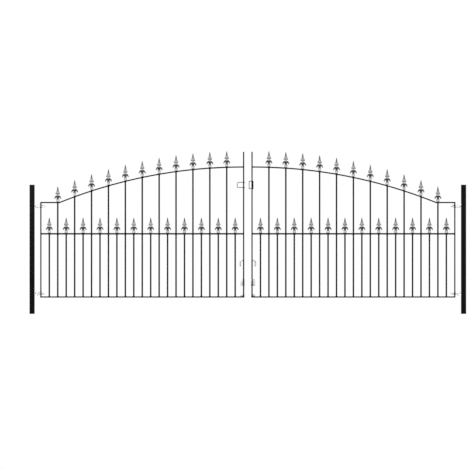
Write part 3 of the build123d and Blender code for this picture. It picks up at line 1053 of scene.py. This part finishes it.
def weld(bm, corners, normal, closed=False, radius=BEAD_RADIUS):
    """A rippled bead along straight runs between corners; normal is square to the runs."""
    ends = corners[1:] + corners[:1] if closed else corners[1:]
    line = []
    for start, end in zip(corners, ends):
        count = max(1, round((end - start).length / BEAD_STEP))
        line += [start.lerp(end, i / count) for i in range(count)]
    if not closed:
        line.append(corners[-1])
    rings = []
    for i, centre in enumerate(line):
        before, after = neighbours(line, i, closed)
        across = (after - before).cross(normal).normalized()
        ripple = abs(math.sin(math.pi * i * BEAD_STEP / RIPPLE_LENGTH))
        swell = LEAST_SWELL + RIPPLE_SWELL * ripple
        swell += weld_random.uniform(-RANDOM_SWELL, RANDOM_SWELL)
        to_end = len(line) if closed else min(i, len(line) - 1 - i)
        swell *= min(1.0, END_SWELL + SWELL_PER_RING * to_end)
        rings.append(round_ring(centre, across, normal, radius * swell, BEAD_SEGMENTS))
    skin_rings(bm, rings, closed)


def weld_round(bm, middle, first, second, normal, radius=BEAD_RADIUS):
    """A bead round a rectangle with its corners cut; first and second are its half sides."""
    share_first, share_second = 1 - CORNER_CUT / first.length, 1 - CORNER_CUT / second.length
    corners = []
    for i, (u, v) in enumerate(((1, -1), (1, 1), (-1, 1), (-1, -1))):
        near_first = middle + first * u * share_first + second * v
        near_second = middle + first * u + second * v * share_second
        corners += [near_first, near_second] if i % 2 == 0 else [near_second, near_first]
    weld(bm, corners, normal, closed=True, radius=radius)


print("bead", BEAD_RADIUS * 1000, "mm, ripple", RIPPLE_LENGTH * 1000, "mm")

# %% [markdown]
# Each bar stands on the bottom rail, passes through a punched hole in the mid rail and, if it is
# a tall one, through the arched rail, and has a bead round it at each. The arch slopes, so its
# underside is found by casting a ray up at the CAD rail on each side of the bar.


# %% Welds round the bars
HALF_BAR = 0.006
BESIDE_HOLES = 0.012
ABOVE_ALL = 3.0


def rail_tree(node):
    """A search tree over a CAD node's faces."""
    bm = node_bmesh(node)
    found = BVHTree.FromBMesh(bm)
    bm.free()
    return found


def underside(rail, x):
    """Height of the rail's underside at x, a little behind its middle line, beside the holes."""
    return rail.ray_cast(Vector((x, BESIDE_HOLES, 0)), UP)[0].z


def upper_side(rail, x):
    """Height of the rail's upper side at x, in the same line."""
    return rail.ray_cast(Vector((x, BESIDE_HOLES, ABOVE_ALL)), -UP)[0].z


wide, deep = Vector((HALF_BAR, 0, 0)), Vector((0, HALF_BAR, 0))
for side in ("left", "right"):
    arch = rail_tree(f"{side}_top_rail")
    bottom_rail_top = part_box(f"{side}_bottom_rail")[1].z
    mid_rail_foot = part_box(f"{side}_mid_rail")[0].z
    bm = bmesh.new()
    for kind, count in PER_LEAF.items():
        low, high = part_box(f"{side}_{kind}_bars")
        for x in even_steps(low.x + HALF_BAR, high.x - HALF_BAR, count):
            for height in (bottom_rail_top, mid_rail_foot):
                weld_round(bm, Vector((x, 0, height)), wide, deep, UP)
            if kind == "tall":
                on_left, on_right = (underside(arch, x + step) for step in (-HALF_BAR, HALF_BAR))
                slope = Vector((HALF_BAR, 0, (on_right - on_left) / 2))
                weld_round(bm, Vector((x, 0, (on_left + on_right) / 2)), slope, deep, UP)
    finish_piece(f"{side}_bar_welds", bm, body_of_node[f"{side}_top_rail"], "black_coat")

# %% [markdown]
# Rails meet the stiles with a bead above and below, left out where the two are ground flush. The
# drop bolts' keeps are tacked to the back of the stiles, and the bracket arms are welded all
# round.

# %% Welds on rails, keeps and brackets
END_MARGIN = 0.0015
FLUSH = 0.001
INSIDE_END = 0.001
TACK_RADIUS = 0.0017
EYE_GAP = 0.0003
HALF_ARM = 0.005
for side, lean in (("left", 1), ("right", -1)):
    bm = bmesh.new()
    stiles = [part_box(f"{side}_{kind}_stile") for kind in ("hinge", "meeting")]
    for kind in ("bottom", "mid", "top"):
        node = f"{side}_{kind}_rail"
        low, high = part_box(node)
        rail = rail_tree(node)
        for end, inside in ((low.x, INSIDE_END), (high.x, -INSIDE_END)):
            stile = min(stiles, key=lambda box: abs((box[0].x + box[1].x) / 2 - end))
            for height, flush_with in (
                (underside(rail, end + inside), stile[0].z),
                (upper_side(rail, end + inside), stile[1].z),
            ):
                if abs(height - flush_with) > FLUSH:
                    depths = (low.y + END_MARGIN, high.y - END_MARGIN)
                    weld(bm, [Vector((end, y, height)) for y in depths], UP)
    stile_low, stile_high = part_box(f"{side}_meeting_stile")
    across_stile = (stile_low.x + END_MARGIN, stile_high.x - END_MARGIN)
    keeps = node_bmesh(f"{side}_drop_keeps")
    levels = sorted({round(v.co.z, 4) for v in keeps.verts})
    keeps.free()
    for height in levels:
        if abs(height - stile_low.z) > FLUSH:
            ends = [Vector((x, stile_high.y, height)) for x in across_stile]
            weld(bm, ends, UP, radius=TACK_RADIUS)
    finish_piece(f"{side}_rail_welds", bm, body_of_node[f"{side}_bottom_rail"], "black_coat")

    bm = bmesh.new()
    low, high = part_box(f"{side}_hinge_brackets")
    post_face = low.x if lean > 0 else high.x
    eye_low, eye_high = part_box(f"{side}_eye_bolts")
    half_deep, half_high = Vector((0, high.y, 0)), Vector((0, 0, HALF_ARM))
    for level in (eye_low.z - EYE_GAP - HALF_ARM, eye_high.z + EYE_GAP + HALF_ARM):
        weld_round(bm, Vector((post_face, 0, level)), half_deep, half_high, SIDEWAYS)
    finish_piece(f"{side}_bracket_welds", bm, "root", "zinc_plate")

# %% [markdown]
# The keeper's two arms are welded to the stile along their outer edges, and the plate that
# stiffens the stile on its other side is welded all round.

# %% Welds on the keeper
KEEPER_BEAD = 0.0018
bm = bmesh.new()
low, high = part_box("latch_keeper")
for height in (low.z, high.z):
    ends = [Vector((high.x, y, height)) for y in (low.y + END_MARGIN, high.y - END_MARGIN)]
    weld(bm, ends, UP, radius=KEEPER_BEAD)
low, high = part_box("keeper_backing_plate")
middle = Vector((low.x, 0, (low.z + high.z) / 2))
half_deep, half_high = Vector((0, high.y, 0)), Vector((0, 0, (high.z - low.z) / 2))
weld_round(bm, middle, half_deep, half_high, SIDEWAYS, radius=KEEPER_BEAD)
finish_piece("keeper_welds", bm, body_of_node["latch_keeper"], "black_coat")

# %% [markdown]
# ## Floor
# A plain pale floor. It is wide, so that no edge of it shows from any side, and its colour is
# close to white so that it meets the background softly.

# %% Floor
FLOOR_SIZE = 60.0
CLOUD_SCALE = 3.0
DARKER_FLOOR = (0.80, 0.80, 0.80)
PALER_FLOOR = (0.86, 0.86, 0.86)
bm = bmesh.new()
bmesh.ops.create_grid(bm, x_segments=1, y_segments=1, size=FLOOR_SIZE / 2)
floor_mesh = bpy.data.meshes.new("floor")
bm.to_mesh(floor_mesh)
bm.free()
floor = bpy.data.objects.new("floor", floor_mesh)
floor.location = (gate_middle.x, 0, 0)
bpy.context.collection.objects.link(floor)
floor_paint, tree, shader = new_material("floor_paint")
floor_place = tree.nodes.new("ShaderNodeTexCoord").outputs["Object"]
clouds = noise(tree, floor_place, CLOUD_SCALE, detail=3)
paint = mix_colour(tree, clouds.outputs["Fac"], DARKER_FLOOR, PALER_FLOOR)
tree.links.new(paint, shader.inputs["Base Color"])
shader.inputs["Roughness"].default_value = 0.9
print("floor", FLOOR_SIZE, "m")

# %% [markdown]
# The lamps only reach the floor near the gate, and further out it would turn grey. There the
# camera and the reflections see plain white instead, so the floor runs out into the background.
# Near the gate nothing is added, and its shadow stays.

# %% Floor far away
FADE_START = 2.4
FADE_END = 6.0
reach = tree.nodes.new("ShaderNodeVectorMath")
reach.operation = "LENGTH"
tree.links.new(floor_place, reach.inputs[0])
far = remap(tree, reach.outputs["Value"], FADE_START, FADE_END, 0, 1)
path = tree.nodes.new("ShaderNodeLightPath")
seen = maths(tree, "MAXIMUM", path.outputs["Is Camera Ray"], path.outputs["Is Glossy Ray"])
white = tree.nodes.new("ShaderNodeEmission")
white.inputs["Color"].default_value = (1, 1, 1, 1)
faded = tree.nodes.new("ShaderNodeMixShader")
tree.links.new(maths(tree, "MULTIPLY", far, seen), faded.inputs["Fac"])
tree.links.new(shader.outputs["BSDF"], faded.inputs[1])
tree.links.new(white.outputs["Emission"], faded.inputs[2])
tree.links.new(faded.outputs["Shader"], tree.nodes["Material Output"].inputs["Surface"])
floor_mesh.materials.append(floor_paint)
print("floor white from", FADE_END, "m")

# %% End
import json
